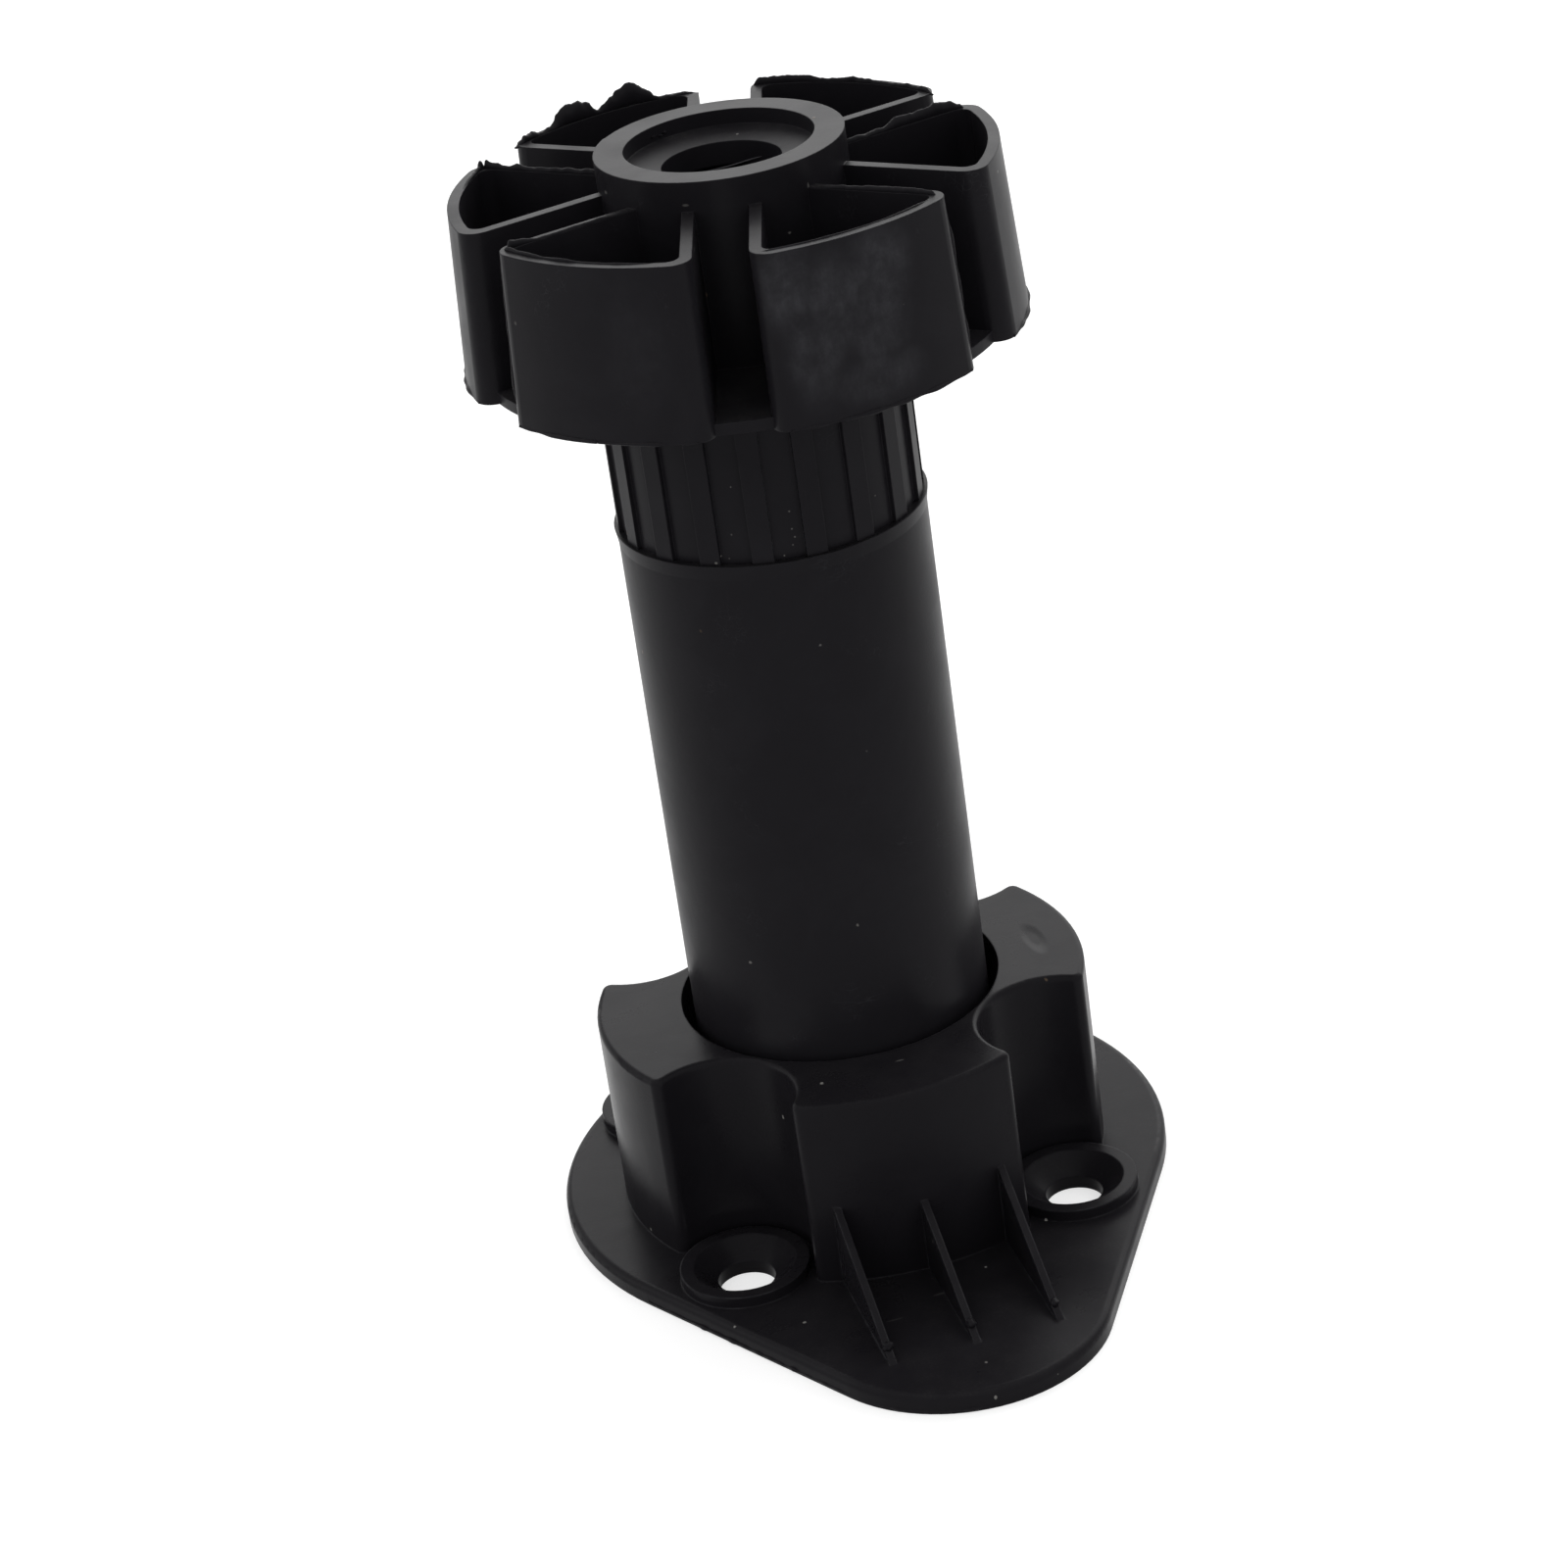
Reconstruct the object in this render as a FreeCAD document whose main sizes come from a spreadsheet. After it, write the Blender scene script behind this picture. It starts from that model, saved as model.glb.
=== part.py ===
"""Adjustable cabinet leg: a screw-on flange with a socket, a tube, a threaded plug and a screw foot.

The origin is on the leg's axis at the flange's mounting face, with the foot upwards
and the flange's long tip towards -Y. Lengths are in millimetres, angles in degrees.
"""
import FreeCAD
import Part

import math
import os
import re

import Sketcher
from FreeCAD import Placement, Rotation, Vector

os.makedirs("parts", exist_ok=True)
doc = FreeCAD.newDocument("CabinetLeg")
sizes = doc.addObject("Spreadsheet::Sheet", "Sizes")

# Two lengths this near each other count as the same.
TOLERANCE = 0.01

# Driving dimensions: alias, value.
DRIVING = [
    # Flange plate: a round plate drawn out to a smaller round tip.
    ("plate_thickness", 2.1),
    ("plate_brim", 6.7),
    ("tip_radius", 16.2),
    ("tip_distance", 34.8),
    ("plate_rounding", 0.8),
    # Screw holes in the middle of the socket's notches, each in a raised countersunk boss.
    ("hole_radius", 3.1),
    ("hole_land", 1.0),
    ("sink_radius", 5.0),
    ("boss_radius", 6.95),
    ("boss_height", 1.3),
    # Socket: a round body with a notch above each screw hole.
    ("mouth_gap", 1.3),
    ("socket_wall", 9.3),
    ("socket_height", 23.5),
    ("floor_height", 3.0),
    ("seat_height", 8.0),
    ("notch_count", 4),
    ("notch_turn", 45),
    ("notch_inset", 0.6),
    ("notch_radius", 8.0),
    ("notch_corner", 1.0),
    ("rim_rounding", 0.6),
    # Gussets on the tip.
    ("gusset_thickness", 0.8),
    ("gusset_spacing", 9.0),
    ("gusset_rise", 8.3),
    ("gusset_length", 15.6),
    ("gusset_sink", 2.3),
    # Tube.
    ("tube_radius", 16.0),
    ("tube_wall", 1.5),
    ("tube_length", 77.0),
    ("tube_flare", 0.25),
    ("flare_height", 1.6),
    # Threaded plug: a ribbed collar on the tube's end and a spigot inside the tube.
    ("collar_height", 18.2),
    ("collar_inset", 0.15),
    ("collar_step", 0.45),
    ("rib_count", 18),
    ("rib_width", 2.2),
    ("rib_turn", 12.5),
    ("spigot_depth", 26.0),
    # Thread shared by the plug and the foot.
    ("thread_cover", 2.88),
    ("thread_depth", 1.5),
    ("thread_pitch", 5.0),
    ("thread_crest", 1.2),
    ("thread_root", 2.6),
    ("thread_lead", 0.8),
    ("thread_sink", 0.3),
    # Foot: a hub, six hollow petals on a disc, and a hollow threaded shank.
    ("hub_margin", 0.97),
    ("hub_rise", 3.0),
    ("hub_rim", 3.0),
    ("recess_depth", 2.2),
    ("recess_cone", 0.6),
    ("recess_ledge", 3.53),
    ("hub_thickness", 2.4),
    ("petal_count", 6),
    ("petal_turn", 15.0),
    ("petal_height", 17.6),
    ("petal_reach", 15.03),
    ("petal_lean", 1.0),
    ("petal_wall", 1.2),
    ("petal_corner", 2.0),
    ("pocket_corner", 1.2),
    ("slot_width", 5.4),
    ("disc_inset", 0.7),
    ("disc_thickness", 1.2),
    ("shank_length", 52.0),
    ("shank_wall", 2.5),
    # Clearances.
    ("turning_gap", 0.05),
    ("press_gap", 0.02),
    ("thread_gap", 0.2),
    ("foot_gap", 0.2),
]

# Sizes that follow from the driving ones: alias, formula.
DERIVED = [
    ("seat_radius", "tube_radius + turning_gap"),
    ("mouth_radius", "tube_radius + mouth_gap"),
    ("socket_radius", "mouth_radius + socket_wall"),
    ("notch_distance", "socket_radius - notch_inset"),
    ("plate_radius", "socket_radius + plate_brim"),
    ("gusset_end", "socket_radius + gusset_length"),
    ("tube_top", "floor_height + tube_length"),
    ("tube_bore", "tube_radius - tube_wall"),
    ("boss_top", "plate_thickness + boss_height"),
    ("collar_radius", "tube_radius - collar_inset"),
    ("groove_radius", "collar_radius - collar_step"),
    ("collar_top", "tube_top + collar_height"),
    ("spigot_radius", "tube_bore - press_gap"),
    ("spigot_end", "tube_top - spigot_depth"),
    ("foot_base", "collar_top + foot_gap"),
    ("disc_top", "foot_base + disc_thickness"),
    ("petal_top", "foot_base + petal_height"),
    ("hub_top", "petal_top + hub_rise"),
    ("thread_radius", "spigot_radius - thread_cover"),
    ("core_radius", "thread_radius - thread_depth"),
    ("shank_bore_radius", "core_radius - shank_wall"),
    ("hub_radius", "thread_radius + hub_margin"),
    ("recess_radius", "hub_radius - hub_rim"),
    ("hub_hole_radius", "recess_radius - recess_ledge"),
    ("petal_top_radius", "hub_radius + petal_reach"),
    ("petal_foot_radius", "petal_top_radius + petal_lean"),
    ("disc_radius", "petal_top_radius - disc_inset"),
    ("plug_thread_radius", "thread_radius + thread_gap"),
    ("plug_bore_radius", "core_radius + thread_gap"),
    ("shank_end", "foot_base - shank_length"),
    ("foot_thread_start", "shank_end + thread_lead"),
    ("plug_thread_limit", "spigot_end - thread_root - thread_gap"),
    ("plug_thread_start",
     "foot_thread_start + thread_pitch * floor((plug_thread_limit - foot_thread_start) / thread_pitch)"),
]


def fill_sheet():
    """Writes the driving sizes as numbers and the others as formulas, each with its alias."""
    for row, (alias, value) in enumerate(DRIVING, start=1):
        sizes.set(f"A{row}", alias)
        sizes.set(f"B{row}", str(value))
        sizes.setAlias(f"B{row}", alias)
    doc.recompute()
    for row, (alias, formula) in enumerate(DERIVED, start=len(DRIVING) + 1):
        sizes.set(f"A{row}", alias)
        sizes.set(f"B{row}", "=" + formula)
        sizes.setAlias(f"B{row}", alias)
    doc.recompute()


fill_sheet()
size = {alias: float(sizes.get(alias)) for alias, _ in DRIVING + DERIVED}


def sheet(formula):
    """Gives a formula of aliases the sheet's name, so that an object can be bound to it."""
    return re.sub("[a-z_]+", lambda word: f"Sizes.{word[0]}" if word[0] in size else word[0], formula)


def value(formula):
    """Works out a formula of aliases from the sheet's values."""
    return float(sizes.evalExpression(sheet(formula)))


def new_body(name):
    """Starts a body whose label is the sub-part's name."""
    body = doc.addObject("PartDesign::Body", name)
    body.Label = name
    return body


def new_sketch(body, name, role, lift=None, turn=None):
    """Attaches a sketch to one of the body's own planes, lifted off it and turned on it by formulas."""
    sketch = body.newObject("Sketcher::SketchObject", name)
    plane = next(feature for feature in body.Origin.OriginFeatures if feature.Role == role)
    sketch.AttachmentSupport = [(plane, "")]
    sketch.MapMode = "FlatFace"
    if turn:
        sketch.AttachmentOffset = Placement(Vector(), Rotation(Vector(0, 0, 1), value(turn)))
        sketch.setExpression("AttachmentOffset.Rotation.Angle", sheet(turn))
    if lift:
        sketch.setExpression("AttachmentOffset.Base.z", sheet(lift))
    return sketch


def bind(sketch, kind, *places, formula):
    """Adds a dimension to a sketch and binds it to the sheet."""
    index = sketch.addConstraint(Sketcher.Constraint(kind, *places, value(formula)))
    sketch.setExpression(f"Constraints[{index}]", sheet(formula))


def draw_outline(sketch, corners):
    """Draws a closed outline of straight edges through corners given as pairs of formulas."""
    points = [Vector(value(across), value(along), 0) for across, along in corners]
    count = len(points)
    for index, point in enumerate(points):
        sketch.addGeometry(Part.LineSegment(point, points[(index + 1) % count]), False)
    for index in range(count):
        sketch.addConstraint(Sketcher.Constraint("Coincident", index, 2, (index + 1) % count, 1))
    for index, (across, along) in enumerate(corners):
        bind(sketch, "DistanceX", -1, 1, index, 1, formula=across)
        bind(sketch, "DistanceY", -1, 1, index, 1, formula=along)


def draw_circle(sketch, radius, distance=None):
    """Draws a circle round the origin, or at a distance along the sketch's X axis."""
    centre = Vector(value(distance) if distance else 0, 0, 0)
    index = sketch.addGeometry(Part.Circle(centre, Vector(0, 0, 1), value(radius)), False)
    bind(sketch, "Radius", index, formula=radius)
    if distance:
        bind(sketch, "DistanceX", -1, 1, index, 3, formula=distance)
        sketch.addConstraint(Sketcher.Constraint("PointOnObject", index, 3, -1))
    else:
        sketch.addConstraint(Sketcher.Constraint("Coincident", index, 3, -1, 1))


def draw_bar(sketch, start, end, width):
    """Draws a rectangle along the sketch's X axis, half of its width on each side."""
    near, far, half = value(start), value(end), value(width) / 2
    points = [Vector(near, -half, 0), Vector(far, -half, 0), Vector(far, half, 0), Vector(near, half, 0)]
    for index, point in enumerate(points):
        sketch.addGeometry(Part.LineSegment(point, points[(index + 1) % 4]), False)
    for index in range(4):
        sketch.addConstraint(Sketcher.Constraint("Coincident", index, 2, (index + 1) % 4, 1))
    for index, kind in ((0, "Horizontal"), (2, "Horizontal"), (3, "Vertical")):
        sketch.addConstraint(Sketcher.Constraint(kind, index))
    sketch.addConstraint(Sketcher.Constraint("Symmetric", 1, 1, 1, 2, -1))
    bind(sketch, "DistanceX", -1, 1, 0, 1, formula=start)
    bind(sketch, "DistanceX", -1, 1, 0, 2, formula=end)
    bind(sketch, "DistanceY", 1, 1, 1, 2, formula=width)


def pad(body, name, sketch, length):
    """Raises a sketch into a solid."""
    feature = body.newObject("PartDesign::Pad", name)
    feature.Profile = sketch
    feature.setExpression("Length", sheet(length))
    return feature


def pocket(body, name, sketch, depth, upwards=False):
    """Cuts a sketch's shape out of the body, below the sketch or above it."""
    feature = body.newObject("PartDesign::Pocket", name)
    feature.Profile = sketch
    feature.Reversed = upwards
    feature.setExpression("Length", sheet(depth))
    return feature


def revolve(body, name, corners, kind="PartDesign::Revolution"):
    """Turns an outline in the XZ plane about the leg's axis, as a solid or as a groove."""
    sketch = new_sketch(body, name + "Profile", "XZ_Plane")
    draw_outline(sketch, corners)
    feature = body.newObject(kind, name)
    feature.Profile = sketch
    feature.ReferenceAxis = (sketch, ["V_Axis"])
    feature.Angle = 360
    return feature


def repeat_round(body, name, feature, count):
    """Repeats a feature round the leg's axis."""
    pattern = body.newObject("PartDesign::PolarPattern", name)
    pattern.Originals = [feature]
    axis = next(item for item in body.Origin.OriginFeatures if item.Role == "Z_Axis")
    pattern.Axis = (axis, [""])
    pattern.Angle = 360
    pattern.setExpression("Occurrences", sheet(count))
    body.Tip = pattern
    return pattern


def round_edges(body, name, radius, chosen):
    """Rounds the edges of the body's present shape that a test picks."""
    doc.recompute()
    base = body.Tip
    names = [f"Edge{number}" for number, edge in enumerate(base.Shape.Edges, start=1) if chosen(edge)]
    feature = body.newObject("PartDesign::Fillet", name)
    feature.Base = (base, names)
    feature.setExpression("Radius", sheet(radius))
    body.Tip = feature
    return feature


def reach(point):
    """Gives a point's distance from the leg's axis."""
    return math.hypot(point.x, point.y)


def is_upright(edge):
    """Tells whether an edge is straight and runs along the leg's axis."""
    first, last = edge.Vertexes[0].Point, edge.Vertexes[-1].Point
    aside = math.hypot(first.x - last.x, first.y - last.y)
    return aside < TOLERANCE and abs(first.z - last.z) > TOLERANCE


def is_level(edge, height):
    """Tells whether the whole edge lies at one height."""
    box = edge.BoundBox
    return abs(box.ZMin - height) < TOLERANCE and abs(box.ZMax - height) < TOLERANCE


def draw_plate_outline(sketch):
    """Draws the plate: an arc round the axis, an arc round the tip and the two lines that touch both."""
    big, small, distance = value("plate_radius"), value("tip_radius"), value("tip_distance")
    slant = math.acos((big - small) / distance)
    right, left = -math.pi / 2 + slant, -math.pi / 2 - slant
    tip = Vector(0, -distance, 0)
    up = Vector(0, 0, 1)
    arcs = ((Part.Circle(Vector(), up, big), right, left + 2 * math.pi),
            (Part.Circle(tip, up, small), left, right))
    for circle, start, end in arcs:
        sketch.addGeometry(Part.ArcOfCircle(circle, start, end), False)
    for angle in (right, left):
        out = Vector(math.cos(angle), math.sin(angle), 0)
        sketch.addGeometry(Part.LineSegment(out * big, tip + out * small), False)
    sketch.addConstraint(Sketcher.Constraint("Coincident", 0, 3, -1, 1))
    sketch.addConstraint(Sketcher.Constraint("PointOnObject", 1, 3, -2))
    sketch.addConstraint(Sketcher.Constraint("Tangent", 0, 1, 2, 1))
    sketch.addConstraint(Sketcher.Constraint("Tangent", 2, 2, 1, 2))
    sketch.addConstraint(Sketcher.Constraint("Tangent", 0, 2, 3, 1))
    sketch.addConstraint(Sketcher.Constraint("Tangent", 3, 2, 1, 1))
    bind(sketch, "Radius", 0, formula="plate_radius")
    bind(sketch, "Radius", 1, formula="tip_radius")
    bind(sketch, "DistanceY", 1, 3, -1, 1, formula="tip_distance")


def make_flange():
    """Makes the flange: plate, socket with four notches, countersunk bosses and gussets."""
    body = new_body("flange_socket")
    outline = new_sketch(body, "PlateOutline", "XY_Plane")
    draw_plate_outline(outline)
    pad(body, "Plate", outline, "plate_thickness")
    round_edges(body, "PlateRounding", "plate_rounding", lambda edge: is_level(edge, size["plate_thickness"]))

    ring = new_sketch(body, "SocketOutline", "XY_Plane")
    draw_circle(ring, "socket_radius")
    pad(body, "Socket", ring, "socket_height")

    notch = new_sketch(body, "NotchOutline", "XY_Plane", "socket_height", "notch_turn")
    draw_circle(notch, "notch_radius", "notch_distance")
    cut = pocket(body, "Notch", notch, "socket_height - plate_thickness")
    repeat_round(body, "Notches", cut, "notch_count")

    corner_radius = size["socket_radius"]
    round_edges(body, "NotchCorners", "notch_corner",
                lambda edge: is_upright(edge)
                and abs(reach(edge.Vertexes[0].Point) - corner_radius) < TOLERANCE)
    round_edges(body, "RimRounding", "rim_rounding", lambda edge: is_level(edge, size["socket_height"]))

    make_gussets(body)
    make_bosses(body)
    revolve(body, "Bore", [("0", "floor_height"), ("seat_radius", "floor_height"),
                           ("seat_radius", "seat_height"), ("mouth_radius", "socket_height"),
                           ("0", "socket_height")], "PartDesign::Groove")
    return body


def make_gussets(body):
    """Makes the three fins that slope from the socket down to the tip."""
    inner = "socket_radius - gusset_sink"
    for number, side in enumerate((-1, 0, 1), start=1):
        sketch = new_sketch(body, f"GussetOutline{number}", "YZ_Plane", f"{side} * gusset_spacing")
        top = "plate_thickness + gusset_rise * (gusset_length + gusset_sink) / gusset_length"
        points = [(f"-({inner})", "plate_thickness / 2"), (f"-({inner})", top),
                  ("-gusset_end", "plate_thickness"), ("-gusset_end", "plate_thickness / 2")]
        draw_outline(sketch, points)
        fin = pad(body, f"Gusset{number}", sketch, "gusset_thickness")
        fin.Midplane = True


def make_bosses(body):
    """Makes the raised bosses and their countersunk holes."""
    ring = new_sketch(body, "BossOutline", "XY_Plane", turn="notch_turn")
    draw_circle(ring, "boss_radius", "notch_distance")
    repeat_round(body, "Bosses", pad(body, "Boss", ring, "boss_top"), "notch_count")
    hole = new_sketch(body, "HoleOutline", "XY_Plane", "boss_top", "notch_turn")
    draw_circle(hole, "hole_radius", "notch_distance")
    repeat_round(body, "ScrewHoles", pocket(body, "ScrewHole", hole, "boss_top"), "notch_count")
    doc.recompute()
    base = body.Tip
    limit = size["hole_radius"] + TOLERANCE
    names = [f"Edge{number}" for number, edge in enumerate(base.Shape.Edges, start=1)
             if is_level(edge, size["boss_top"]) and edge.Curve.TypeId == "Part::GeomCircle"
             and edge.Curve.Radius < limit]
    chamfer = body.newObject("PartDesign::Chamfer", "Countersinks")
    chamfer.Base = (base, names)
    chamfer.ChamferType = "Two distances"
    chamfer.setExpression("Size", sheet("boss_top - hole_land"))
    chamfer.setExpression("Size2", sheet("sink_radius - hole_radius"))
    body.Tip = chamfer


def make_tube():
    """Makes the plain tube, slightly flared at its upper rim."""
    body = new_body("leg_tube")
    flared = "tube_radius + tube_flare"
    revolve(body, "Tube", [("tube_bore", "floor_height"), ("tube_radius", "floor_height"),
                           ("tube_radius", "tube_top - flare_height"), (flared, "tube_top"),
                           ("tube_bore", "tube_top")])
    return body


def wind_thread(body, name, kind, base_radius, crest_radius, widen, start, length):
    """Winds a thread about the axis, as a ridge or a groove, from its outline at the start height."""
    sketch = new_sketch(body, name + "Profile", "XZ_Plane")
    inner = f"{base_radius} - thread_sink"
    flank = "(thread_root - thread_crest) / 2"
    draw_outline(sketch, [(inner, f"{start} - {widen}"), (base_radius, f"{start} - {widen}"),
                          (crest_radius, f"{start} + {flank} - {widen}"),
                          (crest_radius, f"{start} + {flank} + thread_crest + {widen}"),
                          (base_radius, f"{start} + thread_root + {widen}"),
                          (inner, f"{start} + thread_root + {widen}")])
    feature = body.newObject(kind, name)
    feature.Profile = sketch
    feature.ReferenceAxis = (sketch, ["V_Axis"])
    feature.Mode = 0
    feature.setExpression("Pitch", sheet("thread_pitch"))
    feature.setExpression("Height", sheet(length))
    body.Tip = feature
    return feature


def make_plug():
    """Makes the threaded plug: ribbed collar above the tube and spigot inside it."""
    body = new_body("threaded_plug")
    revolve(body, "Plug", [("plug_bore_radius", "spigot_end"), ("spigot_radius", "spigot_end"),
                           ("spigot_radius", "tube_top"), ("groove_radius", "tube_top"),
                           ("groove_radius", "collar_top"), ("plug_bore_radius", "collar_top")])
    rib = new_sketch(body, "RibOutline", "XY_Plane", "tube_top", "rib_turn")
    draw_bar(rib, "groove_radius - collar_step", "collar_radius", "rib_width")
    repeat_round(body, "Ribs", pad(body, "Rib", rib, "collar_height"), "rib_count")
    wind_thread(body, "InnerThread", "PartDesign::SubtractiveHelix", "plug_bore_radius", "plug_thread_radius",
                "thread_gap", "plug_thread_start", "collar_top - plug_thread_start")
    return body


def draw_petal_pocket(sketch):
    """Draws a petal's hollow: two arcs round the axis and two sides parallel to the slots beside it."""
    outer, inner = value("petal_top_radius - petal_wall"), value("hub_radius - petal_wall / 2")
    offset = value("slot_width / 2 + petal_wall")
    tilt = math.radians(180 / value("petal_count"))
    along, across = Vector(math.cos(tilt), math.sin(tilt), 0), Vector(math.sin(tilt), -math.cos(tilt), 0)
    far = along * math.sqrt(outer ** 2 - offset ** 2) + across * offset
    near = along * math.sqrt(inner ** 2 - offset ** 2) + across * offset
    for corner, radius in ((far, outer), (near, inner)):
        angle = math.atan2(corner.y, corner.x)
        circle = Part.Circle(Vector(), Vector(0, 0, 1), radius)
        sketch.addGeometry(Part.ArcOfCircle(circle, -angle, angle), False)
    for side in (-1, 1):
        ends = [Vector(corner.x, side * corner.y, 0) for corner in (near, far)]
        sketch.addGeometry(Part.LineSegment(*ends), False)
    for arc, line_end in ((0, 2), (1, 1)):
        sketch.addConstraint(Sketcher.Constraint("Coincident", arc, 3, -1, 1))
        sketch.addConstraint(Sketcher.Constraint("Coincident", arc, 1, 2, line_end))
        sketch.addConstraint(Sketcher.Constraint("Coincident", arc, 2, 3, line_end))
    bind(sketch, "Radius", 0, formula="petal_top_radius - petal_wall")
    bind(sketch, "Radius", 1, formula="hub_radius - petal_wall / 2")
    for line, turn in ((2, "-180 / petal_count"), (3, "180 / petal_count")):
        bind(sketch, "Distance", -1, 1, line, formula="slot_width / 2 + petal_wall")
        index = sketch.addConstraint(Sketcher.Constraint("Angle", line, math.radians(value(turn))))
        sketch.setExpression(f"Constraints[{index}]", sheet(turn))


def make_foot():
    """Makes the screw foot: hub, hollow petals on a disc and hollow threaded shank."""
    body = new_body("adjusting_foot")
    core = "hub_radius - petal_wall"
    revolve(body, "PetalRing", [(core, "foot_base"), ("petal_foot_radius", "foot_base"),
                                ("petal_top_radius", "petal_top"), (core, "petal_top")])
    slot = new_sketch(body, "SlotOutline", "XY_Plane", "petal_top", "petal_turn")
    draw_bar(slot, f"{core} - petal_wall", "petal_foot_radius + petal_wall", "slot_width")
    repeat_round(body, "Slots", pocket(body, "Slot", slot, "petal_height"), "petal_count")
    round_edges(body, "PetalCorners", "petal_corner",
                lambda edge: edge.BoundBox.ZLength > size["petal_height"] / 2
                and min(reach(vertex.Point) for vertex in edge.Vertexes) > size["disc_radius"])
    hollow = new_sketch(body, "HollowOutline", "XY_Plane", "petal_top", "petal_turn + 180 / petal_count")
    draw_petal_pocket(hollow)
    cut = pocket(body, "Hollow", hollow, "petal_height - disc_thickness")
    repeat_round(body, "Hollows", cut, "petal_count")
    hollow_radius = size["petal_top_radius"] - size["petal_wall"]
    round_edges(body, "HollowCorners", "pocket_corner",
                lambda edge: is_upright(edge)
                and abs(reach(edge.Vertexes[0].Point) - hollow_radius) < TOLERANCE)
    floor = "hub_top - recess_depth"
    revolve(body, "Hub", [("shank_bore_radius", "shank_end"), ("core_radius", "shank_end"),
                          ("core_radius", "foot_base"), ("disc_radius", "foot_base"),
                          ("disc_radius", "disc_top"), ("hub_radius", "disc_top"), ("hub_radius", "hub_top"),
                          ("recess_radius", "hub_top"),
                          ("recess_radius", f"{floor} + recess_cone"), ("hub_hole_radius", floor),
                          ("hub_hole_radius", f"{floor} - hub_thickness"),
                          ("shank_bore_radius", f"{floor} - hub_thickness")])
    wind_thread(body, "OuterThread", "PartDesign::AdditiveHelix", "core_radius", "thread_radius", "0",
                "foot_thread_start", "shank_length - thread_root - 2 * thread_lead")
    return body


def main():
    """Builds every sub-part, checks it and writes its file."""
    bodies = [make_flange(), make_tube(), make_plug(), make_foot()]
    doc.recompute()
    for item in doc.Objects:
        if "Invalid" in item.State or "Error" in item.State:
            raise RuntimeError(f"{item.Label} is {item.State}")
    for body in bodies:
        shape = body.Shape
        if shape.isNull() or not shape.isValid():
            raise RuntimeError(f"{body.Label} has no valid shape")
    for body in bodies:
        body.Shape.exportStep(f"parts/{body.Label}.step")
        shape = body.Shape
        print(body.Label, len(shape.Solids), "solid", round(shape.Volume), "mm3", shape.BoundBox)


main()
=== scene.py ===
"""Looks of an adjustable cabinet leg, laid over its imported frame.

The frame gives the four mouldings in metres: flange, tube, threaded plug and screw foot.
This script gives them their moulded black plastic, adds the torn rims, flash and dirt that
a cheap moulding shows, and sets up the camera, light and floor.
"""
import logging
import math
from collections.abc import Callable
from dataclasses import dataclass, field
from enum import Enum

import bmesh
import bpy
from bmesh.types import BMesh
from bpy.types import Material, Node, NodeSocket, NodeTree, Object
from mathutils import Matrix, Vector, noise


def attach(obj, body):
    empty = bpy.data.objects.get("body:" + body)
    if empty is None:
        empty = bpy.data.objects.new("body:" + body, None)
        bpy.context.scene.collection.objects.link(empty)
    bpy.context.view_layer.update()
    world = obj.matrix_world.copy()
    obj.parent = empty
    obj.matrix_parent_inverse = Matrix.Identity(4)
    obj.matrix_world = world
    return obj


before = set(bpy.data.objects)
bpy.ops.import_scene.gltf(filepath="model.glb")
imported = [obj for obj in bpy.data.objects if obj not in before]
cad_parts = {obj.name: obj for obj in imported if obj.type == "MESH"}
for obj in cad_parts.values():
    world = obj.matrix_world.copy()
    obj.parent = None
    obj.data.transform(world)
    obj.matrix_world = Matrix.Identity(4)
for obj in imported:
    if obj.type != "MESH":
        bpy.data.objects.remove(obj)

log = logging.getLogger("cabinet_leg")

MM = 0.001

# The seed of the lumps on the torn rims, so that each run gives the same ones.
TEAR_SEED = 4

# Linear colours of what lies on the plastic.
DUST_COLOR = (0.30, 0.29, 0.27)
CRUMB_COLOR = (0.16, 0.115, 0.075)
LINT_COLOR = (0.38, 0.37, 0.35)
WHITE = (1.0, 1.0, 1.0, 1.0)

# The kinds of socket that an effect takes and gives.
VALUE = "NodeSocketFloat"
VECTOR = "NodeSocketVector"


class Body(Enum):
    """The bodies that the added pieces ride on."""

    FLANGE = "flange"
    FOOT = "foot"


class Slot(Enum):
    """The record's material slots."""

    FLANGE = "moulded_plastic"
    TUBE = "tube_plastic"
    PLUG = "plug_plastic"
    FOOT = "foot_plastic"


class EffectGroup:
    """A shader node group that several finishes share.

    Args:
        name: The group's name.
    """

    def __init__(self, name: str) -> None:
        """Starts an empty group with its input and output nodes."""
        self.tree = bpy.data.node_groups.new(name, "ShaderNodeTree")
        self.entry = self.tree.nodes.new("NodeGroupInput")
        self.exit = self.tree.nodes.new("NodeGroupOutput")

    def takes(self, name: str, kind: str = VALUE, value: float | None = None) -> NodeSocket:
        """Adds a named input.

        Args:
            name: The input's name.
            kind: The socket's type.
            value: The value when nothing is set.

        Returns:
            The socket inside the group that gives the input's value.
        """
        socket = self.tree.interface.new_socket(name, in_out="INPUT", socket_type=kind)
        if value is not None:
            socket.default_value = value
        return self.entry.outputs[name]

    def gives(self, name: str, source: NodeSocket, kind: str = VALUE) -> None:
        """Adds a named output.

        Args:
            name: The output's name.
            source: What it passes on.
            kind: The socket's type.
        """
        self.tree.interface.new_socket(name, in_out="OUTPUT", socket_type=kind)
        self.tree.links.new(source, self.exit.inputs[name])


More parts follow.
